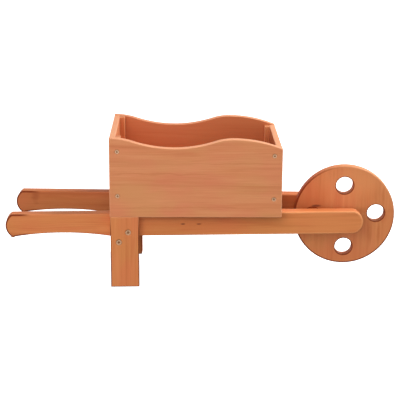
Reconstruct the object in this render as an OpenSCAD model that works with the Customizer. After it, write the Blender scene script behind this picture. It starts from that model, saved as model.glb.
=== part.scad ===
// Wooden wheelbarrow planter: an open plank box with wavy sides on two splayed
// rails, two legs under the handle end and a solid wheel between the rails.
// Millimetres. +X runs from the handles to the wheel, +Y is the left side and
// +Z is up. The origin is on the ground, under the centre of the whole object.

/* [Box] */
// Length of the box along the rails
box_l = 300; // [260:5:360]
// Width of the box over its side panels
box_w = 208; // [190:2:260]
// Thickness of the side panels
panel_t = 12; // [9:0.5:18]
// Thickness of the two end boards
end_t = 10.5; // [9:0.5:15]
// Height of the handle-end board
rear_end_h = 140; // [135:1:141]
// Height of the side panels at the handle end, the wave's first crest
rear_crest_h = 141; // [136:0.5:150]
// Radius of the side panels' first crest
rear_crest_r = 132; // [100:1:160]
// Distance of the wave's dip from the handle end
dip_x = 112.5; // [105:0.5:120]
// Height of the side panels at the dip
dip_h = 123; // [115:0.5:128]
// Distance of the wave's second crest from the handle end
front_crest_x = 214; // [205:1:225]
// Height of the second crest
front_crest_h = 139.3; // [134:0.1:145]
// Radius of the slope from the second crest down to the wheel end
front_slope_r = 229; // [180:1:300]
// Thickness of the floor slats
slat_t = 10; // [8:0.5:14]
// Number of floor slats, one node each
slat_count = 5; // [5:1:5]
// Drainage gap between floor slats
slat_gap = 4; // [2:0.5:8]
// Corner post size along the box
post_x = 9.5; // [8:0.5:20]
// Corner post size across the box
post_y = 16; // [12:1:25]
// Width of the flat that eases each sawn edge
ease = 0.8; // [0.4:0.1:1.5]

/* [Rails] */
// Thickness of the rails
rail_t = 22; // [18:1:28]
// Height of the rails
rail_h = 41.5; // [35:0.5:42]
// Rail length from the middle of the leg back to the handle tip
rail_rear = 209.5; // [180:0.5:260]
// Rail length from the middle of the leg forward to the wheel end
rail_front = 425; // [420:1:440]
// Angle by which each rail closes in towards the wheel
splay = 2.17; // [1.5:0.01:2.5]
// Radius of the rounded handle tip
handle_tip_r = 25; // [21:0.5:40]
// Radius of the rounded wheel end
wheel_end_r = 21.2; // [21:0.1:30]
// Length of the shallow arch under each handle
arch_l = 172; // [120:1:172]
// Height of the shallow arch under each handle
arch_rise = 7; // [3:0.5:10]

/* [Legs] */
// Width of the legs along the box
leg_w = 50; // [40:1:60]
// Thickness of the legs
leg_t = 22; // [18:1:28]
// Height from the ground to the underside of the box
leg_h = 129; // [120:1:160]
// Width of the crossbar between the legs
crossbar_w = 26; // [20:1:30]
// Thickness of the crossbar
crossbar_t = 10; // [10:1:15]

/* [Wheel] */
// Wheel diameter
wheel_d = 184; // [160:2:200]
// Wheel thickness
wheel_t = 18; // [14:1:22]
// Distance from the front of the box to the axle
axle_ahead = 123; // [115:1:130]
// Distance from the underside of the box down to the axle
axle_drop = 23.6; // [18:0.2:28]
// Diameter of the round holes in the wheel
hole_d = 31.5; // [25:0.5:38]
// Front hole, ahead of and above the axle; the four are drilled by eye, not quite in a ring
hole_front = [57.9, 3.8]; // [-62:0.1:62]
// Top hole, ahead of and above the axle
hole_top = [-0.7, 55.6]; // [-62:0.1:62]
// Rear hole, ahead of and above the axle
hole_rear = [-58.2, -1.7]; // [-62:0.1:62]
// Bottom hole, ahead of and above the axle
hole_bottom = [0.6, -60.3]; // [-62:0.1:62]
// Axle diameter
axle_d = 10; // [8:0.5:14]
// Diameter of the spacer sleeves on the axle
sleeve_d = 20; // [16:0.5:22]
// Outer diameter of the washers beside the wheel
washer_d = 22; // [18:0.5:30]
// Thickness of the washers
washer_t = 1.5; // [1:0.1:2.5]

/* [Screws] */
// Head diameter of the box screws
box_screw_head_d = 7; // [6:0.1:8]
// Shank diameter of the box screws
box_screw_d = 3; // [2.5:0.1:3.2]
// Length of the panel screws
panel_screw_l = 24; // [20:1:27]
// Length of the end board screws
end_screw_l = 17; // [14:0.5:19]
// Length of the floor screws
floor_screw_l = 30; // [20:1:40]
// Distance of the panel screws from the ends of the box
panel_screw_in = 14; // [13:0.1:17]
// Head diameter of the leg screws
leg_screw_head_d = 9.5; // [8:0.1:11]
// Shank diameter of the leg screws
leg_screw_d = 4.5; // [4:0.1:5.5]
// Length of the leg screws
leg_screw_l = 40; // [30:1:42]

/* [Hidden] */
$fn = 96;

// How far a cutting shape stands proud of the face it cuts
over = 1;

// Wave: two crests and a dip drawn as tangent arcs
rear_rise = dip_h - rear_crest_h + rear_crest_r;
dip_r = (dip_x * dip_x + rear_rise * rear_rise - rear_crest_r * rear_crest_r)
    / (2 * (rear_crest_r - rear_rise));
front_run = front_crest_x - dip_x;
front_rise = front_crest_h - dip_h;
front_crest_r = (front_run * front_run + front_rise * front_rise) / (2 * front_rise) - dip_r;
rear_tangent_x = dip_x * rear_crest_r / (rear_crest_r + dip_r);
front_tangent_x = dip_x + front_run * dip_r / (dip_r + front_crest_r);
front_end_h = wave_h(box_l);
wave_steps = 75;

// Box interior
inner_w = box_w - 2 * panel_t;
inner_l = box_l - 2 * end_t;
slat_w = (inner_l - (slat_count - 1) * slat_gap) / slat_count;

// Rails: the leg stands on the rail's outer face, its rear corner flush with the box
leg_mid_x = leg_w / 2;
rail_inset = leg_mid_x * sin(splay) + leg_t * cos(splay);
arch_r = (arch_l * arch_l / 4 + arch_rise * arch_rise) / (2 * arch_rise);
arch_mid = -leg_mid_x - over - arch_l / 2;

// Wheel and axle
axle_x = box_l + axle_ahead;
rail_gap_half = box_w / 2 - rail_inset - (axle_x - leg_mid_x) * tan(splay) - rail_t / cos(splay);
axle_depth = 14;
axle_end_gap = 0.3;
axle_half_l = rail_gap_half + axle_depth - axle_end_gap;
running_gap = 0.05;
glue_gap = 0.05;
rim_ease = 1.5;
side_play = 0.4;
washer_from = wheel_t / 2 + side_play;
sleeve_from = washer_from + washer_t + 0.1;
sleeve_to = rail_gap_half - sleeve_d / 2 * tan(splay) - 0.1;
slip_gap = 0.25;

// Whole length, so that the origin lies under its middle
handle_tip_x = leg_mid_x - rail_rear * cos(splay) - rail_t * sin(splay);
wheel_tip_x = axle_x + wheel_d / 2;
mid_x = (handle_tip_x + wheel_tip_x) / 2;

// Screws: heights above the underside of the box
rear_panel_screw_z = [38, 117];
front_panel_screw_z = [32.5, 110];
rear_end_screw_z = [20, 95];
front_end_screw_z = [18, 88];
rail_screw_x = 6;
rail_screw_z = -28.5;
bar_screw_x = -10.3;
bar_screw_z = -rail_h - crossbar_t / 2;
screw_sink = 0.3;
screw_gap = 0.1;
screw_tip_l = 3;
slot_w = 0.9;
slot_d = 1.1;

// ---- Places ----

// Box coordinates: x from the rear face of the box, z from its underside
module in_box() {
    translate([-mid_x, 0, leg_h]) children();
}

// Along the right rail: x from the middle of the leg, y inwards from its outer face
module on_rail() {
    in_box()
        translate([leg_mid_x, rail_inset - box_w / 2, 0])
            rotate([0, 0, splay]) children();
}

// Copies onto the left side of the object
module on_left() {
    mirror([0, 1, 0]) children();
}

module on_both_sides() {
    children();
    on_left() children();
}

// Spots of the fasteners, with each screw's head facing out
module at_panel_screws() {
    in_box() {
        for (z = rear_panel_screw_z)
            translate([panel_screw_in, -box_w / 2, z]) rotate([90, 0, 0]) children();
        for (z = front_panel_screw_z)
            translate([box_l - panel_screw_in, -box_w / 2, z]) rotate([90, 0, 0]) children();
    }
}

module at_rear_end_screws() {
    in_box()
        for (z = rear_end_screw_z)
            translate([0, (post_y - inner_w) / 2, z]) rotate([0, -90, 0]) children();
}

module at_front_end_screws() {
    in_box()
        for (z = front_end_screw_z)
            translate([box_l, (post_y - inner_w) / 2, z]) rotate([0, 90, 0]) children();
}

function slat_mid_x(n) = end_t + slat_w / 2 + (n - 1) * (slat_w + slat_gap);

module at_floor_screws() {
    for (n = [1 : slat_count])
        on_rail()
            translate([(slat_mid_x(n) - leg_mid_x) / cos(splay), rail_t / 2, slat_t]) children();
}

module at_leg_screws() {
    on_rail() {
        translate([rail_screw_x, -leg_t, rail_screw_z]) rotate([90, 0, 0]) children();
        translate([bar_screw_x, -leg_t, bar_screw_z]) rotate([90, 0, 0]) children();
    }
}

// ---- Shared shapes ----

// Rectangle with its four corners cut by the easing flat
module eased_section(a, b) {
    polygon([
        [ease, 0], [a - ease, 0], [a, ease], [a, b - ease],
        [a - ease, b], [ease, b], [0, b - ease], [0, ease]
    ]);
}

// Sawn board with every edge eased
module board(l, w, h) {
    intersection() {
        linear_extrude(h) eased_section(l, w);
        translate([0, w, 0]) rotate([90, 0, 0]) linear_extrude(w) eased_section(l, h);
        rotate([90, 0, 90]) linear_extrude(l) eased_section(w, h);
    }
}

// Round bar along Y about the given point, from one y to another
module cross_cylinder(x, z, r, from, to) {
    translate([x, to, z]) rotate([90, 0, 0]) cylinder(r = r, h = to - from, $fn = 360);
}

// Countersunk wood screw: head face at the origin, point towards -Z, cross recess
module screw(l, head_d, shank_d) {
    head_r = head_d / 2;
    shank_r = shank_d / 2;
    slot_l = head_d * 0.6;
    translate([0, 0, -screw_sink])
        difference() {
            rotate_extrude()
                polygon([
                    [0, 0], [head_r, 0], [shank_r, shank_r - head_r],
                    [shank_r, screw_tip_l - l], [0, -l]
                ]);
            translate([-slot_l / 2, -slot_w / 2, -slot_d]) cube([slot_l, slot_w, slot_d + over]);
            translate([-slot_w / 2, -slot_l / 2, -slot_d]) cube([slot_w, slot_l, slot_d + over]);
        }
}

// The hole that the screw sits in
module screw_hole(l, head_d, shank_d) {
    head_r = head_d / 2 + screw_gap;
    shank_r = shank_d / 2 + screw_gap;
    rotate_extrude()
        polygon([
            [0, over], [head_r, over], [head_r, -screw_sink],
            [shank_r, shank_r - head_r - screw_sink],
            [shank_r, -l - over], [0, -l - over]
        ]);
}

module panel_screw_hole() {
    screw_hole(panel_screw_l, box_screw_head_d, box_screw_d);
}

module end_screw_hole() {
    screw_hole(end_screw_l, box_screw_head_d, box_screw_d);
}

module floor_screw_hole() {
    screw_hole(floor_screw_l, box_screw_head_d, box_screw_d);
}

module leg_screw_hole() {
    screw_hole(leg_screw_l, leg_screw_head_d, leg_screw_d);
}

// ---- Box ----

// Height of the wavy edge at a distance along the panel
function arc_h(x, r) = sqrt(r * r - x * x);
function wave_h(x) =
    x < rear_tangent_x ? rear_crest_h - rear_crest_r + arc_h(x, rear_crest_r)
    : x < front_tangent_x ? dip_h + dip_r - arc_h(x - dip_x, dip_r)
    : x < front_crest_x ? front_crest_h - front_crest_r + arc_h(x - front_crest_x, front_crest_r)
    : front_crest_h - front_slope_r + arc_h(x - front_crest_x, front_slope_r);

// Side panel seen from the side, its lower edge straight and its upper edge the wave
module panel_outline() {
    wave = [for (step = [wave_steps : -1 : 0])
        let(x = box_l * step / wave_steps) [x, wave_h(x)]];
    polygon(concat([[0, 0], [box_l, 0]], wave));
}

module side_panel() {
    difference() {
        in_box()
            translate([0, -box_w / 2, 0])
                intersection() {
                    board(box_l, panel_t, rear_crest_h + over);
                    translate([0, panel_t, 0])
                        rotate([90, 0, 0]) linear_extrude(panel_t) panel_outline();
                }
        at_panel_screws() panel_screw_hole();
    }
}

module side_panel_right() {
    color("peru") side_panel();
}

module side_panel_left() {
    color("peru") on_left() side_panel();
}

module end_board_rear() {
    color("sandybrown")
        difference() {
            in_box() translate([0, -inner_w / 2, 0]) board(end_t, inner_w, rear_end_h);
            on_both_sides() at_rear_end_screws() end_screw_hole();
        }
}

module end_board_front() {
    color("sandybrown")
        difference() {
            in_box()
                translate([box_l - end_t, -inner_w / 2, 0]) board(end_t, inner_w, front_end_h);
            on_both_sides() at_front_end_screws() end_screw_hole();
        }
}

module corner_post_rear() {
    difference() {
        in_box()
            translate([end_t, -inner_w / 2, slat_t]) board(post_x, post_y, rear_end_h - slat_t);
        at_panel_screws() panel_screw_hole();
        at_rear_end_screws() end_screw_hole();
    }
}

module corner_post_front() {
    difference() {
        in_box()
            translate([box_l - end_t - post_x, -inner_w / 2, slat_t])
                board(post_x, post_y, front_end_h - slat_t);
        at_panel_screws() panel_screw_hole();
        at_front_end_screws() end_screw_hole();
    }
}

module corner_post_rear_right() {
    color("burlywood") corner_post_rear();
}

module corner_post_rear_left() {
    color("burlywood") on_left() corner_post_rear();
}

module corner_post_front_right() {
    color("burlywood") corner_post_front();
}

module corner_post_front_left() {
    color("burlywood") on_left() corner_post_front();
}

module floor_slat(n) {
    color("tan")
        difference() {
            in_box()
                translate([slat_mid_x(n) - slat_w / 2, -inner_w / 2, 0])
                    board(slat_w, inner_w, slat_t);
            on_both_sides() at_floor_screws() floor_screw_hole();
        }
}

// ---- Rails and legs ----

module rail() {
    difference() {
        on_rail()
            difference() {
                translate([-rail_rear, 0, -rail_h])
                    board(rail_rear + rail_front, rail_t, rail_h);
                handle_tip_waste();
                wheel_end_waste();
                cross_cylinder(arch_mid, arch_rise - rail_h - arch_r, arch_r,
                    -over, rail_t + over);
            }
        at_leg_screws() leg_screw_hole();
        at_floor_screws() floor_screw_hole();
        in_box()
            cross_cylinder(axle_x, -axle_drop, axle_d / 2 + glue_gap,
                -rail_gap_half - axle_depth, 0);
    }
}

module handle_tip_waste() {
    difference() {
        translate([-rail_rear - over, -over, -rail_h - over])
            cube([handle_tip_r + over, rail_t + 2 * over, rail_h + 2 * over]);
        cross_cylinder(handle_tip_r - rail_rear, -rail_h / 2, handle_tip_r,
            -2 * over, rail_t + 2 * over);
    }
}

module wheel_end_waste() {
    difference() {
        translate([rail_front - wheel_end_r, -over, -rail_h - over])
            cube([wheel_end_r + over, rail_t + 2 * over, rail_h + 2 * over]);
        cross_cylinder(rail_front - wheel_end_r, -rail_h / 2, wheel_end_r,
            -2 * over, rail_t + 2 * over);
    }
}

module rail_right() {
    color("chocolate") rail();
}

module rail_left() {
    color("chocolate") on_left() rail();
}

module leg() {
    difference() {
        on_rail() translate([-leg_w / 2, -leg_t, -leg_h]) board(leg_w, leg_t, leg_h);
        at_leg_screws() leg_screw_hole();
    }
}

module leg_right() {
    color("sienna") leg();
}

module leg_left() {
    color("sienna") on_left() leg();
}

// Half width between the legs at a distance from the leg's middle
function bar_half(x) = box_w / 2 - rail_inset - x * tan(splay);

module crossbar() {
    rear = bar_screw_x - crossbar_w / 2;
    front = bar_screw_x + crossbar_w / 2;
    color("tan")
        difference() {
            in_box()
                translate([leg_mid_x, 0, -rail_h - crossbar_t])
                    linear_extrude(crossbar_t)
                        polygon([
                            [rear, -bar_half(rear)], [front, -bar_half(front)],
                            [front, bar_half(front)], [rear, bar_half(rear)]
                        ]);
            on_both_sides() at_leg_screws() leg_screw_hole();
        }
}

// ---- Wheel ----

module axle() {
    color("silver")
        in_box() cross_cylinder(axle_x, -axle_drop, axle_d / 2, -axle_half_l, axle_half_l);
}

module wheel() {
    wheel_r = wheel_d / 2;
    color("darkorange")
        in_box()
            translate([axle_x, 0, -axle_drop])
                rotate([90, 0, 0])
                    difference() {
                        rotate_extrude($fn = 180)
                            polygon([
                                [axle_d / 2 + running_gap, -wheel_t / 2],
                                [wheel_r - rim_ease, -wheel_t / 2],
                                [wheel_r, rim_ease - wheel_t / 2],
                                [wheel_r, wheel_t / 2 - rim_ease],
                                [wheel_r - rim_ease, wheel_t / 2],
                                [axle_d / 2 + running_gap, wheel_t / 2]
                            ]);
                        for (spot = [hole_front, hole_top, hole_rear, hole_bottom])
                            translate(spot)
                                cylinder(d = hole_d, h = wheel_t + 2 * over, center = true);
                    }
}

module axle_ring(d, from, to) {
    in_box()
        difference() {
            cross_cylinder(axle_x, -axle_drop, d / 2, from, to);
            cross_cylinder(axle_x, -axle_drop, axle_d / 2 + slip_gap, from - over, to + over);
        }
}

module sleeve_right() {
    color("burlywood") axle_ring(sleeve_d, -sleeve_to, -sleeve_from);
}

module sleeve_left() {
    color("burlywood") axle_ring(sleeve_d, sleeve_from, sleeve_to);
}

module washers() {
    color("gainsboro")
        on_both_sides() axle_ring(washer_d, washer_from, washer_from + washer_t);
}

// ---- Screws ----

module panel_screws_right() {
    color("silver") at_panel_screws() screw(panel_screw_l, box_screw_head_d, box_screw_d);
}

module panel_screws_left() {
    color("silver")
        on_left() at_panel_screws() screw(panel_screw_l, box_screw_head_d, box_screw_d);
}

module end_screws_rear() {
    color("silver")
        on_both_sides()
            at_rear_end_screws() screw(end_screw_l, box_screw_head_d, box_screw_d);
}

module end_screws_front() {
    color("silver")
        on_both_sides()
            at_front_end_screws() screw(end_screw_l, box_screw_head_d, box_screw_d);
}

module floor_screws() {
    color("silver")
        on_both_sides()
            at_floor_screws() screw(floor_screw_l, box_screw_head_d, box_screw_d);
}

module leg_screws() {
    color("silver")
        on_both_sides()
            at_leg_screws() screw(leg_screw_l, leg_screw_head_d, leg_screw_d);
}

side_panel_right();
side_panel_left();
end_board_rear();
end_board_front();
corner_post_rear_right();
corner_post_rear_left();
corner_post_front_right();
corner_post_front_left();
floor_slat(1);  // floor_slat_1
floor_slat(2);  // floor_slat_2
floor_slat(3);  // floor_slat_3
floor_slat(4);  // floor_slat_4
floor_slat(5);  // floor_slat_5
rail_right();
rail_left();
leg_right();
leg_left();
crossbar();
axle();
wheel();
sleeve_right();
sleeve_left();
washers();
panel_screws_right();
panel_screws_left();
end_screws_rear();
end_screws_front();
floor_screws();
leg_screws();
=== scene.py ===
"""Looks of the wooden wheelbarrow planter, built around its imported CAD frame."""

import math

import bmesh
import bpy
from mathutils import Matrix, Vector
from mathutils.geometry import tessellate_polygon


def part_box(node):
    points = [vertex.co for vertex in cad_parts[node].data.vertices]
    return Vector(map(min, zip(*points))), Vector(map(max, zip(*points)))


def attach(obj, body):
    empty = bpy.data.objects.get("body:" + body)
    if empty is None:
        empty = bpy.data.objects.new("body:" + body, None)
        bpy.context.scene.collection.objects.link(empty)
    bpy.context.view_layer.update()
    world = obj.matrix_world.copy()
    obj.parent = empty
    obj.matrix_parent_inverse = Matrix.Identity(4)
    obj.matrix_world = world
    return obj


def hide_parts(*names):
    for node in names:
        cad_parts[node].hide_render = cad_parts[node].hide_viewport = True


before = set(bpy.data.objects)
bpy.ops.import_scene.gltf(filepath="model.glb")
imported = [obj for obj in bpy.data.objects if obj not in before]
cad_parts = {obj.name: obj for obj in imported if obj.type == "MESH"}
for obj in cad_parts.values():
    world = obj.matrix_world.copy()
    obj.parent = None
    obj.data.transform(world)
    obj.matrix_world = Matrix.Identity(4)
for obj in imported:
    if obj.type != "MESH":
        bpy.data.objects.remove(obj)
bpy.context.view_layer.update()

MM = 0.001
RIGHT, LEFT = -1, 1

# ---- Driving sizes, the same as in the CAD source ----

SPLAY = math.radians(2.17)
REAR_CREST_R = 132 * MM
DIP_X = 112.5 * MM
DIP_H = 123 * MM
FRONT_CREST_X = 214 * MM
FRONT_CREST_H = 139.3 * MM
FRONT_SLOPE_R = 229 * MM
RAIL_REAR = 209.5 * MM
RAIL_FRONT = 425 * MM
RAIL_T = 22 * MM
RAIL_H = 41.5 * MM
HANDLE_TIP_R = 25 * MM
WHEEL_END_R = 21.2 * MM
ARCH_L = 172 * MM
ARCH_RISE = 7 * MM
LEG_W = 50 * MM
LEG_T = 22 * MM
PANEL_SCREW_IN = 14 * MM
REAR_PANEL_SCREW_Z = (38 * MM, 117 * MM)
FRONT_PANEL_SCREW_Z = (32.5 * MM, 110 * MM)
REAR_END_SCREW_Z = (20 * MM, 95 * MM)
FRONT_END_SCREW_Z = (18 * MM, 88 * MM)
POST_Y = 16 * MM
HEAD_SEAT_R = 3.65 * MM
LEG_SEAT_R = 4.95 * MM
LEG_SCREWS = ((6 * MM, -28.5 * MM), (-10.3 * MM, -46.5 * MM))
WHEEL_HOLE_R = 15.75 * MM
WHEEL_HOLES = ((57.9 * MM, 3.8 * MM), (-0.7 * MM, 55.6 * MM), (-58.2 * MM, -1.7 * MM),
               (0.6 * MM, -60.3 * MM))
AXLE_BORE_R = 5.05 * MM

# ---- Finish of the boards, which the CAD source leaves plain, and painted highlight and shade on their edges ----

# Rounding of the long edges, and of an outline's corners where that differs
PANEL_EDGE = 1.2 * MM
END_BOARD_CORNER = 1.0 * MM
POST_EDGE = 0.9 * MM
SLAT_EDGE = 1.0 * MM
RAIL_EDGE = 2.0 * MM
RAIL_CORNER = 1.5 * MM
LEG_EDGE = 1.5 * MM
LEG_CORNER = 1.2 * MM
WHEEL_EDGE = 1.8 * MM

# How pale or dark the edges and holes are made, from 0 to 1, and the band beside an edge
# The pale is partly wear and partly painted highlight, the dark partly stain taken up by end grain
# and partly painted shade
BOX_RIM = 0.8
WHEEL_RIM = 0.6
WHEEL_SOAK_AND_SHADE = 0.45
EDGE_BAND = 0.8 * MM

# ---- Places read from the frame ----

panel_low, panel_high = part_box("side_panel_right")
wheel_low, wheel_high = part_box("wheel")
leg_low, leg_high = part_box("leg_right")

BOX_REAR = panel_low.x
BOX_FLOOR = panel_low.z
BOX_L = panel_high.x - panel_low.x
HALF_W = -panel_low.y
PANEL_T = panel_high.y - panel_low.y
REAR_CREST_H = panel_high.z - panel_low.z
INNER_HALF_W = HALF_W - PANEL_T
WHEEL_MID = (wheel_low + wheel_high) / 2
LEG_MID_X = BOX_REAR + LEG_W / 2
RAIL_INSET = LEG_W / 2 * math.sin(SPLAY) + LEG_T * math.cos(SPLAY)


# ---- Placings ----

def across_box(side, x, z):
    """Takes a board's x, thickness and height to a side of the box, thickness inwards."""
    flip = Matrix.Diagonal((1, -side, 1, 1))
    return Matrix.Translation((x, side * HALF_W, z)) @ flip


def along_rail(side):
    """Takes rail coordinates to a rail, whose outer face is y = 0."""
    flip = Matrix.Diagonal((1, -side, 1, 1))
    turned = Matrix.Rotation(SPLAY, 4, "Z")
    place = Matrix.Translation((LEG_MID_X, RAIL_INSET - HALF_W, BOX_FLOOR))
    mirrored = flip if side == LEFT else Matrix.Identity(4)
    return mirrored @ place @ turned


def in_box(x, y, z):
    """A spot in the box, in millimetres from its rear, its middle plane and its underside."""
    return (BOX_REAR + x * MM, y * MM, BOX_FLOOR + z * MM)


def on_panel(x, z):
    """A spot on the right side panel, in millimetres from its lower rear corner."""
    return in_box(x, -HALF_W / MM, z)


def on_rail(side, x, y, z):
    """A spot on a rail, in millimetres from the leg's middle, the outer face and the top."""
    return along_rail(side) @ Vector((x * MM, y * MM, z * MM))


def on_wheel(x, z):
    """A spot on the wheel's right face, in millimetres from its middle."""
    return (WHEEL_MID.x + x * MM, wheel_low.y, WHEEL_MID.z + z * MM)


# ---- Outlines: lists of 2D points, counter-clockwise ----

def circle(x, y, radius, steps=48):
    return [
        (x + radius * math.cos(math.tau * i / steps), y + radius * math.sin(math.tau * i / steps))
        for i in range(steps)
    ]


def arc(x, y, radius, start, end, steps):
    """Points from one angle to another, in degrees, both ends included."""
    angles = [math.radians(start + (end - start) * i / steps) for i in range(steps + 1)]
    return [(x + radius * math.cos(a), y + radius * math.sin(a)) for a in angles]


def ease_corners(points, radius, sharpest=160, steps=4):
    """Rounds every corner of an outline that turns more than a smooth curve does."""
    eased = []
    for i, here in enumerate(points):
        before = Vector(points[i - 1]) - Vector(here)
        after = Vector(points[(i + 1) % len(points)]) - Vector(here)
        opening = before.angle(after)
        if math.degrees(opening) > sharpest:
            eased.append(here)
            continue
        reach = radius / math.tan(opening / 2)
        start = Vector(here) + before.normalized() * reach
        end = Vector(here) + after.normalized() * reach
        for k in range(steps + 1):
            t = k / steps
            point = start.lerp(Vector(here), t).lerp(Vector(here).lerp(end, t), t)
            eased.append((point.x, point.y))
    return eased


def rectangle(low_x, low_y, high_x, high_y):
    return [(low_x, low_y), (high_x, low_y), (high_x, high_y), (low_x, high_y)]


def wave_height(x):
    """The wavy upper edge of a side panel: tangent arcs over crest, dip and crest."""
    rear_rise = DIP_H - REAR_CREST_H + REAR_CREST_R
    dip_r = (DIP_X**2 + rear_rise**2 - REAR_CREST_R**2) / (2 * (REAR_CREST_R - rear_rise))
    run = FRONT_CREST_X - DIP_X
    rise = FRONT_CREST_H - DIP_H
    crest_r = (run**2 + rise**2) / (2 * rise) - dip_r
    if x < DIP_X * REAR_CREST_R / (REAR_CREST_R + dip_r):
        return REAR_CREST_H - REAR_CREST_R + math.sqrt(REAR_CREST_R**2 - x**2)
    if x < DIP_X + run * dip_r / (dip_r + crest_r):
        return DIP_H + dip_r - math.sqrt(dip_r**2 - (x - DIP_X) ** 2)
    radius = crest_r if x < FRONT_CREST_X else FRONT_SLOPE_R
    return FRONT_CREST_H - radius + math.sqrt(radius**2 - (x - FRONT_CREST_X) ** 2)


def panel_outline(steps=90):
    wave = [(BOX_L * i / steps, wave_height(BOX_L * i / steps)) for i in range(steps, -1, -1)]
    return [(0, 0), (BOX_L, 0)] + wave


def rail_outline():
    """A rail from its outer side: x from the leg's middle, y from its upper edge."""
    middle = -RAIL_H / 2
    arch_r = (ARCH_L**2 / 4 + ARCH_RISE**2) / (2 * ARCH_RISE)
    arch_mid = -LEG_W / 2 - MM - ARCH_L / 2
    half_arch = math.degrees(math.asin(ARCH_L / 2 / arch_r))
    half_tip = math.degrees(math.asin(RAIL_H / 2 / HANDLE_TIP_R))
    half_end = math.degrees(math.asin(RAIL_H / 2 / WHEEL_END_R))
    under = arc(arch_mid, ARCH_RISE - RAIL_H - arch_r, arch_r, 90 + half_arch, 90 - half_arch, 36)
    end = arc(RAIL_FRONT - WHEEL_END_R, middle, WHEEL_END_R, -half_end, half_end, 28)
    tip = arc(HANDLE_TIP_R - RAIL_REAR, middle, HANDLE_TIP_R, 180 - half_tip, 180 + half_tip, 24)
    return under + end + tip


# ---- Boards: an outline with holes, given a thickness and rounded edges ----

def inset_loop(points, distance):
    """Moves a closed loop's points to its left, which is inwards for an outer outline."""
    moved = []
    count = len(points)
    for i in range(count):
        here = Vector(points[i])
        back = (here - Vector(points[i - 1])).normalized()
        ahead = (Vector(points[(i + 1) % count]) - here).normalized()
        side = Vector((-(back.y + ahead.y), back.x + ahead.x)).normalized()
        spread = max(0.5, side.dot(Vector((-back.y, back.x))))
        moved.append(here + side * distance / spread)
    return moved


def board_mesh(name, outline, holes, thickness, edge, placing, steps, rim, soak_and_shade, band):
    """Extrudes an outline from y = 0 to its thickness, with quarter-round edges.

    The wood reads two face attributes: one is 1 on the outer rounded edges and the band beside
    them, and rim between them; bore is the given hole darkness inside the holes and twice that
    on their edges, a darkness that is partly stain taken up by end grain and partly painted shade.
    """
    levels = [(edge + band, 0.0)] if band else []
    for k in range(steps + 1):
        turn = math.pi / 2 * k / steps
        levels.append((edge * (1 - math.sin(turn)), edge * (1 - math.cos(turn))))
    profile = levels + [(inset, thickness - rise) for inset, rise in reversed(levels)]
    wall = len(levels) - 1
    bands = (0, len(profile) - 2) if band else ()
    loops = [outline] + [list(reversed(hole)) for hole in holes]
    mesh = bmesh.new()
    rounded_layer = mesh.faces.layers.float.new("rounded_edge")
    bore = mesh.faces.layers.float.new("bore")
    rings = []
    for loop in loops:
        rings.append([
            [mesh.verts.new((p.x, depth, p.y)) for p in inset_loop(loop, inset)]
            for inset, depth in profile
        ])
    for loop_rings in rings:
        for k in range(len(profile) - 1):
            lower, upper = loop_rings[k], loop_rings[k + 1]
            for i in range(len(lower)):
                j = (i + 1) % len(lower)
                face = mesh.faces.new((lower[i], lower[j], upper[j], upper[i]))
                if loop_rings is rings[0]:
                    face[rounded_layer] = rim if k == wall else 1.0
                elif k not in bands:
                    face[bore] = soak_and_shade if k == wall else 2 * soak_and_shade
    for level, turned in ((0, False), (-1, True)):
        ring = [loop_rings[level] for loop_rings in rings]
        flat = [vertex for loop in ring for vertex in loop]
        corners = [[Vector((v.co.x, v.co.z, 0)) for v in loop] for loop in ring]
        for triangle in tessellate_polygon(corners):
            vertices = [flat[i] for i in triangle]
            if len(set(vertices)) == 3:
                mesh.faces.new(reversed(vertices) if turned else vertices)
    bmesh.ops.recalc_face_normals(mesh, faces=mesh.faces)
    mesh.transform(placing)
    if placing.determinant() < 0:
        bmesh.ops.reverse_faces(mesh, faces=mesh.faces)
    for face in mesh.faces:
        face.smooth = True
    data = bpy.data.meshes.new(name)
    mesh.to_mesh(data)
    mesh.free()
    return data


def add_board(name, body, nodes, slot, material, *shape, edge=PANEL_EDGE, steps=3, rim=0.0,
              soak_and_shade=0.0, band=0.0):
    """Puts a board in the scene in place of its CAD nodes. shape is what board_mesh takes."""
    outline, holes, thickness, placing = shape
    data = board_mesh(name, outline, holes, thickness, edge, placing, steps, rim, soak_and_shade, band)
    piece = bpy.data.objects.new(name, data)
    bpy.context.scene.collection.objects.link(piece)
    piece.modifiers.new("flat faces", "WEIGHTED_NORMAL").keep_sharp = False
    data.materials.append(material)
    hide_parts(*nodes)
    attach(piece, body)
    return piece


# ---- Materials ----

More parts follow.
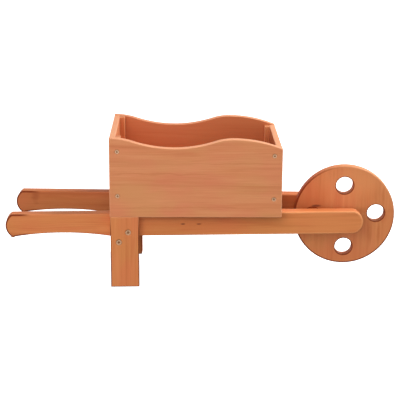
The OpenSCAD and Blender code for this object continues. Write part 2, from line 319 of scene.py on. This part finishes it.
class Tree:
    """Short hands for building a material's node tree."""

    def __init__(self, name):
        self.material = bpy.data.materials.new(name)
        self.material.use_nodes = True
        self.nodes = self.material.node_tree.nodes
        self.links = self.material.node_tree.links
        self.shader = self.nodes["Principled BSDF"]

    def node(self, kind, **settings):
        made = self.nodes.new(kind)
        for key, value in settings.items():
            setattr(made, key, value)
        return made

    def feed(self, socket, value):
        if isinstance(value, bpy.types.NodeSocket):
            self.links.new(value, socket)
        else:
            socket.default_value = value

    def math(self, operation, a, b=0.0, clamp=False):
        made = self.node("ShaderNodeMath", operation=operation, use_clamp=clamp)
        self.feed(made.inputs[0], a)
        self.feed(made.inputs[1], b)
        return made.outputs[0]

    def vector(self, operation, a, b=(0, 0, 0)):
        made = self.node("ShaderNodeVectorMath", operation=operation)
        self.feed(made.inputs[0], a)
        self.feed(made.inputs[1], b)
        return made.outputs["Value" if operation in ("LENGTH", "DISTANCE") else "Vector"]

    def noise(self, place, scale, detail=2.0, roughness=0.5, output="Fac"):
        made = self.node("ShaderNodeTexNoise")
        self.feed(made.inputs["Vector"], self.vector("MULTIPLY", place, scale))
        made.inputs["Scale"].default_value = 1.0
        made.inputs["Detail"].default_value = detail
        made.inputs["Roughness"].default_value = roughness
        return made.outputs[output]

    def remap(self, value, low, high, to_low=0.0, to_high=1.0):
        made = self.node("ShaderNodeMapRange", interpolation_type="SMOOTHSTEP")
        self.feed(made.inputs["Value"], value)
        made.inputs["From Min"].default_value = low
        made.inputs["From Max"].default_value = high
        made.inputs["To Min"].default_value = to_low
        made.inputs["To Max"].default_value = to_high
        return made.outputs["Result"]

    def reach(self, place, centre, size):
        """How far a place is from a centre, counted in half sizes."""
        away = self.vector("SUBTRACT", place, centre)
        return self.vector("LENGTH", self.vector("MULTIPLY", away, tuple(1 / s for s in size)))

    def mix(self, factor, a, b, blend="MIX"):
        made = self.node("ShaderNodeMix", data_type="RGBA", blend_type=blend)
        self.feed(made.inputs["Factor"], factor)
        self.feed(made.inputs["A"], a)
        self.feed(made.inputs["B"], b)
        return made.outputs["Result"]

    def bump(self, height, distance, strength):
        made = self.node("ShaderNodeBump")
        self.feed(made.inputs["Height"], height)
        made.inputs["Distance"].default_value = distance
        made.inputs["Strength"].default_value = strength
        self.links.new(made.outputs["Normal"], self.shader.inputs["Normal"])


STAIN = (0.752, 0.275, 0.111)
# Also painted light, in some pale patches
PALE_STAIN_AND_LIGHT = (0.825, 0.342, 0.152)
STAIN_ROSY = (0.765, 0.250, 0.118)
STAIN_OLIVE = (0.720, 0.300, 0.116)
# Also painted shade, in patches and over whole boards
DEEP_STAIN_AND_SHADE = (0.500, 0.125, 0.038)
# Also painted shade, in some patches
RED_STAIN_AND_SHADE = (0.650, 0.180, 0.072)
KNOT_DARK = (0.16, 0.035, 0.012)
# Dark of stain taken up by end grain and by a knot, and painted shade in patches, on edges and in
# holes
SOAKED_AND_SHADE = (0.260, 0.052, 0.016)
# Pale of edges: partly wear, partly painted highlight
RUBBED_AND_HIGHLIGHT = (0.930, 0.430, 0.225)
# Painted shade in screw recesses
RECESS_SHADE = (0.300, 0.120, 0.050)
WOOD_SPECULAR = 0.28
SPECULAR_LOST_WHERE_DARKENED = 0.24


def warmed(stain, warmth):
    """A stain with some of its green and blue taken out."""
    return (stain[0], stain[1] * (1 - 0.10 * warmth), stain[2] * (1 - 0.32 * warmth), 1)


def shaken(tree, grain, place, scale, reach):
    """A place moved about by up to half of reach, by a noise that runs along the grain."""
    drift = tree.noise(grain, scale, 2.0, output="Color")
    drift = tree.vector("MULTIPLY", tree.vector("SUBTRACT", drift, (0.5, 0.5, 0.5)), reach)
    return tree.vector("ADD", place, drift)


def add_knots(tree, place, bent, knots):
    """A mask of the knots, and the bent grain with a swirl around each of them."""
    mask = 0.0
    for centre, size in knots:
        reach = tree.reach(place, centre, size)
        mask = tree.math("MAXIMUM", mask, tree.remap(reach, 0.35, 1.3, 1.0, 0.0))
        lift = tree.node("ShaderNodeCombineXYZ")
        swirl = tree.remap(reach, 0.8, 4.0, 0.006, 0.0)
        tree.feed(lift.inputs["Y"], swirl)
        tree.feed(lift.inputs["Z"], swirl)
        bent = tree.vector("ADD", bent, lift.outputs["Vector"])
    return mask, bent


def late_wood(tree, grain, bent, pith, ring):
    """The dark part of each year ring, around a pith that lies outside the board."""
    split = tree.node("ShaderNodeSeparateXYZ")
    tree.links.new(bent, split.inputs["Vector"])
    across = tree.math("ADD", split.outputs["Y"], pith[0])
    up = tree.math("ADD", split.outputs["Z"], pith[1])
    radius = tree.math("SQRT", tree.math("ADD", tree.math("MULTIPLY", across, across),
                                         tree.math("MULTIPLY", up, up)))
    uneven = tree.noise(bent, (1.5, 60, 60), 2.0)
    age = tree.math("ADD", tree.math("DIVIDE", radius, ring), tree.math("MULTIPLY", uneven, 2.2))
    year = tree.math("FRACT", age)
    late = tree.math("MULTIPLY", tree.remap(year, 0.25, 0.88),
                     tree.remap(year, 0.92, 1.0, 1.0, 0.0))
    plain = tree.noise(grain, (5, 40, 40), 2.0)
    return tree.math("MULTIPLY", late, tree.remap(plain, 0.35, 0.65, 0.25, 1.0))


def stained(tree, grain, bent, late, fibre, cloud, warm, lines):
    """The colour of stained wood: clouds and flecks of stain under dark lines of grain."""
    plain_stain, pale, rosy_stain, olive, red, dark = (warmed(stain, warm) for stain in (
        STAIN, PALE_STAIN_AND_LIGHT, STAIN_ROSY, STAIN_OLIVE, RED_STAIN_AND_SHADE, DEEP_STAIN_AND_SHADE))
    streak = tree.noise(bent, (4, 210, 210), 3.0, 0.55)
    line = tree.noise(bent, (2.0, 95, 95), 1.0, 0.4)
    band = tree.noise(bent, (2.2, 46, 46), 2.0, 0.5)
    rosy = tree.noise(tree.vector("ADD", grain, (3.1, 1.7, 2.3)), (8, 34, 34), 2.0, 0.5)
    fleck = tree.noise(tree.vector("ADD", grain, (1.3, 0.7, 4.1)), (9, 150, 150), 2.0, 0.6)

    colour = tree.mix(tree.remap(cloud, 0.38, 0.66), rosy_stain, olive)
    colour = tree.mix(tree.remap(rosy, 0.38, 0.66, 0.15, 0.85), colour, plain_stain)
    colour = tree.mix(tree.math("MULTIPLY", tree.remap(band, 0.45, 0.75), 0.30), colour, pale)
    colour = tree.mix(tree.remap(fleck, 0.50, 0.78, 0.0, 0.40), colour, red)
    colour = tree.mix(tree.remap(fleck, 0.50, 0.24, 0.0, 0.50), colour, pale)
    for mask, strength in ((late, 0.16 * lines),
                           (tree.remap(streak, 0.50, 0.80), 0.26 * lines),
                           (tree.remap(line, 0.60, 0.74), 0.34 * lines),
                           (tree.remap(fibre, 0.48, 0.85), 0.26)):
        colour = tree.mix(tree.math("MULTIPLY", mask, strength), colour, dark)
    return colour


def near(tree, place, region):
    """A mask of a region, with a soft border."""
    return tree.remap(tree.reach(place, *region), 0.7, 1.2, 1.0, 0.0)


def edge_wear_and_light(tree, place, colour, cloud, warm, pale_edges_near, dark_edges_near):
    """Makes the edges pale, or only those within a region where one is given: partly wear, partly
    painted highlight. Where a region for dark edges is given, the edges there and the insides of
    the holes are made dark and dull: painted shade on the wheel's lower left rim, partly stain
    taken up by end grain and partly painted shade in the holes, and darker edges at the handle
    tips and low on the legs."""
    edge = tree.node("ShaderNodeAttribute", attribute_name="rounded_edge").outputs["Fac"]
    # Pale edges: partly wear, partly painted highlight
    pale_edge = tree.math("MULTIPLY", edge, tree.remap(cloud, 0.30, 0.62, 0.45, 0.85))
    if pale_edges_near:
        pale_edge = tree.math("MULTIPLY", pale_edge, near(tree, place, pale_edges_near))
    colour = tree.mix(pale_edge, colour, warmed(RUBBED_AND_HIGHLIGHT, warm))
    specular = tree.shader.inputs["Specular IOR Level"]
    specular.default_value = WOOD_SPECULAR
    # Dark edges and holes: painted shade on the wheel's rim, partly end-grain stain and partly
    # painted shade in the holes
    if dark_edges_near:
        bore = tree.node("ShaderNodeAttribute", attribute_name="bore").outputs["Fac"]
        darkened = tree.math("MAXIMUM", bore,
                           tree.math("MULTIPLY", edge, near(tree, place, dark_edges_near)))
        colour = tree.mix(darkened, colour, SOAKED_AND_SHADE + (1,))
        lost = tree.math("MULTIPLY", darkened, SPECULAR_LOST_WHERE_DARKENED)
        tree.links.new(tree.math("SUBTRACT", WOOD_SPECULAR, lost), specular)
    tree.links.new(colour, tree.shader.inputs["Base Color"])


def wood(name, turn=(0, 0, 0), shift=(0, 0, 0), pith=(0.05, 0.06), ring=4.2 * MM, warm=0.0,
         deep=0.0, lines=1.0, knots=(), patches=(), pale_edges_near=None, dark_edges_near=None):
    """Stained softwood. turn lays the grain, along x at first, on the piece; shift picks the
    stretch of log; pith is the distance from the board to the middle of its tree; warm takes
    the board's colour towards orange, and deep takes it towards the darkest stain as painted
    shade; a knot is a region, and a patch also has a colour and its strength, the colour being
    a stain, painted shade or painted light. Edges are made pale, or only those in one region,
    partly as wear and partly as painted highlight, and those in another region are made darker."""
    tree = Tree(name)
    place = tree.node("ShaderNodeTexCoord").outputs["Object"]
    lay = tree.node("ShaderNodeMapping", vector_type="POINT")
    tree.links.new(place, lay.inputs["Vector"])
    lay.inputs["Rotation"].default_value = turn
    grain = tree.vector("ADD", lay.outputs["Vector"], shift)
    bent = shaken(tree, grain, grain, (4, 14, 14), (0, 20 * MM, 20 * MM))
    ragged = shaken(tree, grain, place, (22, 90, 90), (12 * MM, 12 * MM, 12 * MM))
    knot_mask, bent = add_knots(tree, place, bent, knots)
    late = late_wood(tree, grain, bent, pith, ring)
    fibre = tree.noise(grain, (24, 1300, 1300), 3.0, 0.65)
    cloud = tree.noise(grain, (9, 15, 15), 3.0, 0.55)

    colour = stained(tree, grain, bent, late, fibre, cloud, warm, lines)
    # A patch's colour is a stain, painted shade or painted light
    for centre, size, stain, strength in patches:
        soft = tree.remap(tree.reach(ragged, centre, size), 0.2, 1.5, strength, 0.0)
        colour = tree.mix(soft, colour, warmed(stain, warm))
    # deep: painted shade over the whole board
    if deep:
        colour = tree.mix(deep, colour, warmed(DEEP_STAIN_AND_SHADE, warm))
    if knots:
        colour = tree.mix(tree.math("MULTIPLY", knot_mask, 0.8), colour, KNOT_DARK + (1,))
    edge_wear_and_light(tree, place, colour, cloud, warm, pale_edges_near, dark_edges_near)

    gloss = tree.math("ADD", tree.math("MULTIPLY", fibre, 0.16),
                      tree.math("MULTIPLY", late, -0.05))
    gloss = tree.math("ADD", gloss, tree.math("MULTIPLY", cloud, 0.12))
    tree.links.new(tree.math("ADD", gloss, 0.36), tree.shader.inputs["Roughness"])
    height = tree.math("ADD", tree.math("MULTIPLY", late, 0.45), tree.math("MULTIPLY", fibre, 0.8))
    tree.bump(height, 0.25 * MM, 0.35)
    return tree.material


def steel(name, base, rough, brush, heads=()):
    """Plated steel with fine scratches along brush and a little tarnish. Screw heads, each
    given as a region, get painted shade in the recess."""
    tree = Tree(name)
    place = tree.node("ShaderNodeTexCoord").outputs["Object"]
    scratch = tree.noise(place, brush, 3.0, 0.6)
    tarnish = tree.noise(place, (260, 260, 260), 3.0, 0.6)
    darker = tuple(channel * 0.62 for channel in base) + (1,)
    colour = tree.mix(tree.remap(tarnish, 0.45, 0.75, 0.0, 0.7), base + (1,), darker)
    # Painted shade in each screw head's recess: the middle of the head is darkened
    if heads:
        away = 1.0
        for middle, across in heads:
            away = tree.math("MINIMUM", away, tree.reach(place, middle, across))
        colour = tree.mix(tree.remap(away, 0.25, 0.60, 0.8, 0.0), colour, RECESS_SHADE + (1,))
    tree.links.new(colour, tree.shader.inputs["Base Color"])
    tree.shader.inputs["Metallic"].default_value = 1.0
    roughness = tree.math("ADD", tree.math("MULTIPLY", scratch, 0.22),
                          tree.math("MULTIPLY", tarnish, 0.15))
    tree.links.new(tree.math("ADD", roughness, rough), tree.shader.inputs["Roughness"])
    tree.bump(scratch, 0.05 * MM, 0.3)
    return tree.material


GRAIN_UP = (0, math.radians(90), 0)
GRAIN_ACROSS = (0, 0, math.radians(90))
FAR = 1000  # a half size in millimetres that takes in the whole of a board


def region(spot, *half_sizes):
    """A soft round region: its middle, and its half sizes in millimetres along x, y and z."""
    return spot, tuple(size * MM for size in half_sizes)


def patch(stain, strength, spot, *half_sizes):
    """A region with a colour of its own: a stain, painted shade or painted light."""
    return (*region(spot, *half_sizes), stain, strength)


# Stretches whose edges are made pale, and stretches whose edges are made dark
# Rails: pale edges at the wheel end, partly wear and partly painted highlight; darker edges at the
# handle tips
PALE_RAIL_EDGES = {side: region(on_rail(side, 330, 11, -20), 190, FAR, FAR) for side in (RIGHT, LEFT)}
DARK_RAIL_EDGES = {side: region(on_rail(side, -215, 11, -24), 45, FAR, FAR) for side in (RIGHT, LEFT)}
# Wheel: painted highlight on the upper right edges, painted shade on the lower left ones
LIT_WHEEL_EDGES = region(on_wheel(60, 80), 85, FAR, 85)
SHADED_WHEEL_EDGES = region(on_wheel(-45, -60), 150, FAR, 150)
# Legs: edges paler at the top and darker lower down
PALE_LEG_EDGES = region(on_rail(RIGHT, 0, 0, 0), FAR, FAR, 20)
DARK_LEG_EDGES = region(on_rail(RIGHT, 0, 0, -100), FAR, FAR, 90)

# Knots and streaks that single boards have, and some patches of painted light
RAIL_KNOTS = (region(on_rail(RIGHT, 103, 0, -20.3), 4.2, 9, 1.6),
              region(on_rail(RIGHT, 131.3, 0, -20.6), 4.6, 9, 1.3))
# The first and third patches are painted light from below, on the rail's wheel end and low on the
# handle; the other two are streaks
RAIL_STREAKS_AND_LIGHT = (patch(PALE_STAIN_AND_LIGHT, 0.45, on_rail(RIGHT, 370, 0, -22), 90, 9, 26),
                patch(RED_STAIN_AND_SHADE, 0.45, on_rail(RIGHT, -60, 0, -14), 30, 9, 3),
                patch(PALE_STAIN_AND_LIGHT, 0.60, on_rail(RIGHT, -120, 0, -34), 60, 9, 3),
                patch(PALE_STAIN_AND_LIGHT, 0.60, on_rail(RIGHT, -35, 0, -27), 14, 9, 6))
PANEL_STREAKS = (patch(RED_STAIN_AND_SHADE, 0.30, on_panel(131, 112), 24, 9, 5),
                 patch(STAIN_OLIVE, 0.70, on_panel(40, 43), 34, 9, 22),
                 patch(DEEP_STAIN_AND_SHADE, 0.24, on_panel(100, 78), 110, 9, 1.3),
                 patch(DEEP_STAIN_AND_SHADE, 0.20, on_panel(220, 97), 110, 9, 1.6),
                 patch(DEEP_STAIN_AND_SHADE, 0.20, on_panel(150, 17), 150, 9, 1.3))
LEG_FACE = -LEG_T / MM
LEG_STREAKS = (patch(RED_STAIN_AND_SHADE, 0.45, on_rail(RIGHT, 13, LEG_FACE, -60), 3, 9, 34),
               patch(PALE_STAIN_AND_LIGHT, 0.40, on_rail(RIGHT, -14, LEG_FACE, -95), 5, 9, 40))
INNER_FACE = RAIL_T / MM
# The last patch is painted light from below on the lower part of the left handle; the others are a
# knot and a rosy end
HANDLE_STREAKS_AND_LIGHT = (patch(SOAKED_AND_SHADE, 0.45, on_rail(LEFT, -172.6, INNER_FACE, -9), 7, 9, 10),
                  patch(SOAKED_AND_SHADE, 0.30, on_rail(LEFT, -171, INNER_FACE, -24), 6, 9, 4),
                  patch(STAIN_ROSY, 0.6, on_rail(LEFT, -202, INNER_FACE, -14), 16, 12, 18),
                  patch(PALE_STAIN_AND_LIGHT, 0.45, on_rail(LEFT, -120, INNER_FACE, -27), 70, 9, 7))
WHEEL_KNOTS = (region(on_wheel(-52, 17.5), 9, 9, 2.4),)
# The last patch is painted light on the top of the wheel; the others are streaks
WHEEL_STREAKS_AND_LIGHT = (patch(RED_STAIN_AND_SHADE, 0.50, on_wheel(73, -4), 7, 9, 11),
                 patch(DEEP_STAIN_AND_SHADE, 0.34, on_wheel(47, -37), 4, 9, 22),
                 patch(DEEP_STAIN_AND_SHADE, 0.42, on_wheel(64, -37), 3.5, 9, 24),
                 patch(DEEP_STAIN_AND_SHADE, 0.25, on_wheel(70, 39), 3, 9, 15),
                 patch(DEEP_STAIN_AND_SHADE, 0.35, on_wheel(-22, 75), 1.8, 9, 10),
                 patch(PALE_STAIN_AND_LIGHT, 0.60, on_wheel(25, 66), 60, 9, 26))

# Stain that a real board wouldn't have: it stands in for shade that the lights don't give, as
# the deep stain of the left panel, the posts, the left rail and the left leg also does
RAIL_SHADE = (patch(SOAKED_AND_SHADE, 0.36, on_rail(RIGHT, 150, 0, -5), 150, 9, 9),
              patch(RED_STAIN_AND_SHADE, 0.40, on_rail(RIGHT, 130, 0, -24), 130, 9, 16),
              patch(DEEP_STAIN_AND_SHADE, 0.30, on_rail(RIGHT, 340, 12, 0), 90, 16, 2.5))
INSIDE_SHADE = (patch(DEEP_STAIN_AND_SHADE, 0.45, in_box(250, INNER_HALF_W / MM, 100), 110, 9, 90),)
FRONT_END_SHADE = (patch(SOAKED_AND_SHADE, 0.60, in_box(289, 0, 60), 8, 150, 90),)
FRONT_POST_SHADE = (patch(SOAKED_AND_SHADE, 0.65, in_box(284, 0, 60), 30, FAR, 50),)
FAR_LEG_SHADE = (patch(SOAKED_AND_SHADE, 0.45, on_rail(LEFT, 0, 0, -90), 50, 9, 70),)
HANDLE_SHADE = (patch(DEEP_STAIN_AND_SHADE, 0.45, on_rail(LEFT, -120, INNER_FACE, -2), 90, 9, 7),)
WHEEL_SHADE = (patch(RED_STAIN_AND_SHADE, 0.70, on_wheel(-64, 22), 34, 12, 50),
               patch(DEEP_STAIN_AND_SHADE, 0.22, on_wheel(-60, 15), 30, 12, 30),
               patch(RED_STAIN_AND_SHADE, 0.40, on_wheel(-10, -78), 60, 12, 22))
# Painted shade on the wheel just above the near rail, which blocks the light there
WHEEL_RAIL_SHADOW = (patch(DEEP_STAIN_AND_SHADE, 0.35, on_wheel(0, 9), 85, 9, 6),)

# deep on a board is painted shade: it darkens the left panel, the posts, the left rail and the
# left leg
WOODS = {
    "side_panel_right": wood(
        "wood side panel right", shift=(0.3, 0.0, -0.03), pith=(0.02, 0.11), lines=0.6,
        patches=PANEL_STREAKS),
    "side_panel_left": wood(
        "wood side panel left", shift=(1.9, 0.4, 0.1), pith=(0.03, 0.09), deep=0.66,
        patches=INSIDE_SHADE),
    "end_board_rear": wood(
        "wood rear end board", GRAIN_ACROSS, (2.4, 0.2, 0.5), (0.03, 0.07)),
    "end_board_front": wood(
        "wood front end board", GRAIN_ACROSS, (5.1, 0.7, 0.2), (0.02, 0.09),
        patches=FRONT_END_SHADE),
    "posts_rear": wood(
        "wood rear posts", GRAIN_UP, (3.3, 0.1, 0.6), (0.02, 0.03), ring=2.8 * MM, warm=0.3,
        deep=0.3),
    "posts_front": wood(
        "wood front posts", GRAIN_UP, (3.9, 0.1, 0.2), (0.02, 0.03), ring=2.8 * MM, warm=0.3,
        deep=0.3, patches=FRONT_POST_SHADE),
    "floor": wood(
        "wood floor slats", GRAIN_ACROSS, (0.7, 0.9, 0.3), (0.04, 0.05)),
    "rail_right": wood(
        "wood right rail", (0, 0, -SPLAY), (0.6, 0.2, 0.8), (0.03, 0.05), ring=3.4 * MM, warm=1.1,
        knots=RAIL_KNOTS, patches=RAIL_SHADE + RAIL_STREAKS_AND_LIGHT,
        pale_edges_near=PALE_RAIL_EDGES[RIGHT], dark_edges_near=DARK_RAIL_EDGES[RIGHT]),
    "rail_left": wood(
        "wood left rail", (0, 0, SPLAY), (4.2, 0.5, 0.1), (0.02, 0.05), ring=3.4 * MM, warm=0.8,
        deep=0.46, lines=1.3, patches=HANDLE_SHADE + HANDLE_STREAKS_AND_LIGHT,
        pale_edges_near=PALE_RAIL_EDGES[LEFT], dark_edges_near=DARK_RAIL_EDGES[LEFT]),
    "leg_right": wood(
        "wood right leg", GRAIN_UP, (1.4, 0.3, 0.2), (0.04, 0.05), ring=3.6 * MM, warm=1.0,
        patches=LEG_STREAKS, pale_edges_near=PALE_LEG_EDGES, dark_edges_near=DARK_LEG_EDGES),
    "leg_left": wood(
        "wood left leg", GRAIN_UP, (6.2, 0.1, 0.4), (0.03, 0.06), ring=3.6 * MM, warm=1.0,
        deep=0.2, patches=FAR_LEG_SHADE, pale_edges_near=PALE_LEG_EDGES, dark_edges_near=DARK_LEG_EDGES),
    "wheel": wood(
        "wood wheel", GRAIN_UP, (2.0, 0.6, 0.9), (0.03, 0.10), ring=5.2 * MM, warm=0.7,
        lines=0.8, knots=WHEEL_KNOTS, patches=WHEEL_SHADE + WHEEL_STREAKS_AND_LIGHT + WHEEL_RAIL_SHADOW,
        pale_edges_near=LIT_WHEEL_EDGES, dark_edges_near=SHADED_WHEEL_EDGES),
    "sleeves": wood(
        "wood axle sleeves", GRAIN_ACROSS, (1.0, 0.0, 0.0), (0.01, 0.01), ring=2.6 * MM),
}

# The screw heads, as regions that reach right across the barrow to the same head on the left; the
# steel paints shade into the recess of each
PANEL_SCREWS = [(x, z) for x, heights in ((PANEL_SCREW_IN, REAR_PANEL_SCREW_Z),
                                          (BOX_L - PANEL_SCREW_IN, FRONT_PANEL_SCREW_Z))
                for z in heights]
PANEL_HEADS = [region(in_box(x / MM, 0, z / MM), HEAD_SEAT_R / MM, 10 * FAR, HEAD_SEAT_R / MM)
               for x, z in PANEL_SCREWS]
LEG_HEADS = [region(on_rail(RIGHT, x / MM, LEG_FACE, z / MM),
                    LEG_SEAT_R / MM, 10 * FAR, LEG_SEAT_R / MM)
             for x, z in LEG_SCREWS]
EVEN_BRUSH = (900, 900, 900)
TURNED_BRUSH = (2500, 60, 2500)
ZINC = steel("yellow zinc screws", (0.80, 0.66, 0.45), 0.26, EVEN_BRUSH)
PANEL_ZINC = steel("yellow zinc panel screws", (0.88, 0.57, 0.36), 0.42, EVEN_BRUSH, PANEL_HEADS)
LEG_ZINC = steel("yellow zinc leg screws", (0.84, 0.53, 0.32), 0.42, EVEN_BRUSH, LEG_HEADS)
AXLE_STEEL = steel("zinc axle and washers", (0.62, 0.62, 0.64), 0.22, TURNED_BRUSH)


# ---- Pieces ----

def make_side_panels():
    holes = [circle(x, z, HEAD_SEAT_R, 32) for x, z in PANEL_SCREWS]
    outline = ease_corners(panel_outline(), PANEL_EDGE)
    for side, name in ((RIGHT, "side_panel_right"), (LEFT, "side_panel_left")):
        add_board("planter_" + name, "barrow", [name], "panel_wood", WOODS[name],
                  outline, holes, PANEL_T, across_box(side, BOX_REAR, BOX_FLOOR), rim=BOX_RIM)


def make_end_boards():
    for name, heights in (("end_board_rear", REAR_END_SCREW_Z),
                          ("end_board_front", FRONT_END_SCREW_Z)):
        low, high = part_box(name)
        width = high.y - low.y
        height = high.z - low.z
        outline = ease_corners(rectangle(0, 0, width, height), END_BOARD_CORNER)
        holes = []
        for z in heights:
            holes.append(circle(POST_Y / 2, z, HEAD_SEAT_R, 32))
            holes.append(circle(width - POST_Y / 2, z, HEAD_SEAT_R, 32))
        turned = Matrix.Rotation(math.radians(90), 4, "Z")
        placing = Matrix.Translation((high.x, low.y, low.z)) @ turned
        add_board("planter_" + name, "barrow", [name], "end_wood", WOODS[name],
                  outline, holes, high.x - low.x, placing, rim=BOX_RIM)


def make_plain_boards():
    """Posts and floor slats: straight boards that fill their CAD boxes."""
    for end in ("rear", "front"):
        for side in ("right", "left"):
            name = "corner_post_" + end + "_" + side
            add_straight(name, "post_wood", WOODS["posts_" + end], POST_EDGE)
    slats = sorted(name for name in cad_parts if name.startswith("floor_slat_"))
    for name in slats:
        add_straight(name, "floor_wood", WOODS["floor"], SLAT_EDGE)


def add_straight(name, slot, material, edge):
    low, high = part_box(name)
    outline = ease_corners(rectangle(0, 0, high.x - low.x, high.z - low.z), edge)
    add_board("planter_" + name, "barrow", [name], slot, material,
              outline, [], high.y - low.y, Matrix.Translation(low), edge=edge)


def make_rails():
    outline = ease_corners(rail_outline(), RAIL_CORNER, sharpest=165)
    for side, name in ((RIGHT, "rail_right"), (LEFT, "rail_left")):
        add_board("planter_" + name, "barrow", [name], "rail_wood", WOODS[name],
                  outline, [], RAIL_T, along_rail(side),
                  edge=RAIL_EDGE, steps=4, band=EDGE_BAND)


def make_legs():
    drop = -(leg_high.z - leg_low.z)
    outline = ease_corners(rectangle(-LEG_W / 2, drop, LEG_W / 2, 0), LEG_CORNER)
    holes = [circle(x, z, LEG_SEAT_R, 32) for x, z in LEG_SCREWS]
    outwards = Matrix.Translation((0, -LEG_T, 0))
    for side, name in ((RIGHT, "leg_right"), (LEFT, "leg_left")):
        add_board("planter_" + name, "barrow", [name], "leg_wood", WOODS[name],
                  outline, holes, LEG_T, along_rail(side) @ outwards, edge=LEG_EDGE)


def make_wheel():
    radius = (wheel_high.x - wheel_low.x) / 2
    holes = [circle(0, 0, AXLE_BORE_R, 48)]
    holes += [circle(x, z, WHEEL_HOLE_R, 72) for x, z in WHEEL_HOLES]
    placing = Matrix.Translation((WHEEL_MID.x, wheel_low.y, WHEEL_MID.z))
    add_board("planter_wheel", "wheel", ["wheel"], "wheel_wood", WOODS["wheel"],
              circle(0, 0, radius, 180), holes, wheel_high.y - wheel_low.y, placing,
              edge=WHEEL_EDGE, steps=4, rim=WHEEL_RIM, soak_and_shade=WHEEL_SOAK_AND_SHADE, band=EDGE_BAND)


def dress(material, *names):
    """Gives CAD nodes whose shape is right their finished material."""
    for name in names:
        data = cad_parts[name].data
        data.materials.clear()
        data.materials.append(material)


make_side_panels()
make_end_boards()
make_plain_boards()
make_rails()
make_legs()
make_wheel()
dress(WOODS["floor"], "crossbar")
dress(WOODS["sleeves"], "sleeve_right", "sleeve_left")
dress(ZINC, "end_screws_rear", "end_screws_front", "floor_screws")
dress(PANEL_ZINC, "panel_screws_right", "panel_screws_left")
dress(LEG_ZINC, "leg_screws")
dress(AXLE_STEEL, "axle", "washers")


# ---- Stage, light and camera ----

# Glow of the dome at heights from -1, straight down, to 1, straight up
DOME = ((-0.30, 0.10), (-0.03, 1.0), (0.08, 1.0), (0.28, 0.42))

# A softbox's name, place, width and watts
SOFTBOXES = (("key softbox", (1.53, 0.76, 1.93), 1.2, 52),
             ("front softbox", (-0.45, -2.3, 1.15), 1.8, 29))
SOFTBOX_AIM = (0, 0, 0.1)

FLOOR_HALF_W = 12.0
FLOOR_GREYS = ((0.90, 0.90, 0.90, 1), (0.93, 0.93, 0.93, 1))
FLOOR_GLOW = 0.85

CAMERA_PLACE = (-0.04205, -2.13057, 0.73988)
CAMERA_LENS = 109.12  # millimetres, on a 36 mm wide sensor
CAMERA_PITCH = 0.27836  # radians downwards from level
CAMERA_YAW = 0.01702  # radians to the right of +Y
CAMERA_ROLL = 0.00608  # radians


def make_floor():
    """A pale ground that the camera sees and that casts no light or shade on the planter."""
    tree = Tree("pale floor")
    place = tree.node("ShaderNodeTexCoord").outputs["Object"]
    speck = tree.noise(place, (3, 3, 3), 2.0)
    tree.links.new(tree.mix(speck, *FLOOR_GREYS), tree.shader.inputs["Base Color"])
    tree.shader.inputs["Roughness"].default_value = 0.9
    tree.shader.inputs["Emission Color"].default_value = (1, 1, 1, 1)
    tree.shader.inputs["Emission Strength"].default_value = FLOOR_GLOW
    mesh = bpy.data.meshes.new("floor")
    corners = rectangle(-FLOOR_HALF_W, -FLOOR_HALF_W, FLOOR_HALF_W, FLOOR_HALF_W)
    mesh.from_pydata([(x, y, 0) for x, y in corners], [], [(0, 1, 2, 3)])
    floor = bpy.data.objects.new("floor", mesh)
    mesh.materials.append(tree.material)
    floor.visible_diffuse = False
    floor.visible_glossy = False
    floor.visible_shadow = False
    bpy.context.scene.collection.objects.link(floor)


def add_softbox(name, place, size, watts):
    light = bpy.data.lights.new(name, "AREA")
    light.shape = "DISK"
    light.size = size
    light.energy = watts
    lamp = bpy.data.objects.new(name, light)
    lamp.location = place
    lamp.visible_camera = False
    aim = Vector(SOFTBOX_AIM) - Vector(place)
    lamp.rotation_euler = aim.to_track_quat("-Z", "Y").to_euler()
    bpy.context.scene.collection.objects.link(lamp)


def make_light():
    """A dome, white at the horizon, dim below it and less than half as bright above, and two
    softboxes: a key light high up behind, at the wheel's end, and a wider, weaker one in front."""
    world = bpy.data.worlds.new("studio")
    world.use_nodes = True
    nodes = world.node_tree.nodes
    links = world.node_tree.links
    direction = nodes.new("ShaderNodeTexCoord").outputs["Generated"]
    split = nodes.new("ShaderNodeSeparateXYZ")
    links.new(direction, split.inputs["Vector"])
    level = nodes.new("ShaderNodeMapRange")
    links.new(split.outputs["Z"], level.inputs["Value"])
    level.inputs["From Min"].default_value = -1.0
    ramp = nodes.new("ShaderNodeValToRGB")
    links.new(level.outputs["Result"], ramp.inputs["Fac"])
    stops = ramp.color_ramp.elements
    while len(stops) < len(DOME):
        stops.new(0.5)
    for stop, (height, glow) in zip(stops, DOME):
        stop.position = (height + 1) / 2
        stop.color = (glow, glow, glow, 1)
    links.new(ramp.outputs["Color"], nodes["Background"].inputs["Color"])
    nodes["Background"].inputs["Strength"].default_value = 1.0
    bpy.context.scene.world = world
    for softbox in SOFTBOXES:
        add_softbox(*softbox)


def make_camera():
    """The camera looks slightly down along +Y from well back, as a product shot does."""
    lens = bpy.data.cameras.new("camera")
    lens.sensor_width = 36.0
    lens.lens = CAMERA_LENS
    forward = Vector((math.sin(CAMERA_YAW) * math.cos(CAMERA_PITCH),
                      math.cos(CAMERA_YAW) * math.cos(CAMERA_PITCH),
                      -math.sin(CAMERA_PITCH)))
    level = forward.cross(Vector((0, 0, 1))).normalized()
    upright = level.cross(forward)
    right = level * math.cos(CAMERA_ROLL) + upright * math.sin(CAMERA_ROLL)
    up = upright * math.cos(CAMERA_ROLL) - level * math.sin(CAMERA_ROLL)
    turned = Matrix((right, up, -forward)).transposed().to_4x4()
    camera = bpy.data.objects.new("camera", lens)
    camera.matrix_world = Matrix.Translation(CAMERA_PLACE) @ turned
    bpy.context.scene.collection.objects.link(camera)
    bpy.context.scene.camera = camera


make_floor()
make_light()
make_camera()
bpy.context.scene.view_settings.view_transform = "Standard"
